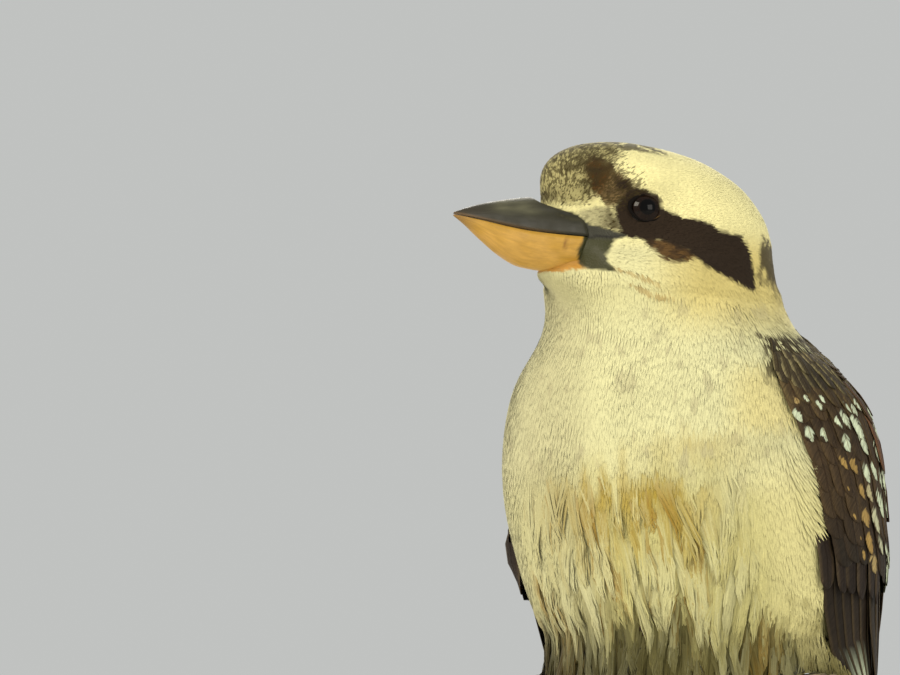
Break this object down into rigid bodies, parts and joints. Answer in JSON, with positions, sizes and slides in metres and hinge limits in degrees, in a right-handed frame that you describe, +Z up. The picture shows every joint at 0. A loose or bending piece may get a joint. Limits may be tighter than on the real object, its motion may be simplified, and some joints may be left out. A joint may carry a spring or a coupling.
{
  "type": "laughing kookaburra",
  "caption": "Life-size laughing kookaburra perched upright on a cut branch, head turned to its right, held by a plain display stand.",
  "frame": {"origin": "centre of the flat underside of the display base, which stands on the floor", "axes": "+Z up; the branch runs along X; the bird's body faces -Y and its left side is +X; its head is turned to its right, towards -X"},
  "size_m": [0.21, 0.1956, 0.381],
  "materials": {
    "pale_plumage": "cream feathers, soft and matt",
    "dark_plumage": "dark brown feathers with pale spots",
    "barred_plumage": "rufous feathers barred with black, white at the tips",
    "dark_bill": "dark slate horn, satin",
    "pale_bill": "pale orange horn, satin",
    "eye": "wet dark brown",
    "leg_skin": "grey-olive scaly skin",
    "bark": "rough bark with moss",
    "stand_wood": "dark stained and satin varnished",
    "stand_steel": "brushed"
  },
  "bodies": {
    "root": {"head": "pale_plumage", "neck": "pale_plumage", "torso": "pale_plumage", "bill_upper": "dark_bill", "bill_lower": "pale_bill", "eye_left": "eye", "eye_right": "eye", "wing_left": "dark_plumage", "wing_right": "dark_plumage", "tail": "barred_plumage", "leg_left": "leg_skin", "leg_right": "leg_skin", "perch": "bark", "stand_base": "stand_wood", "stand_rod_left": "stand_steel", "stand_rod_right": "stand_steel"}
  },
  "joints": []
}
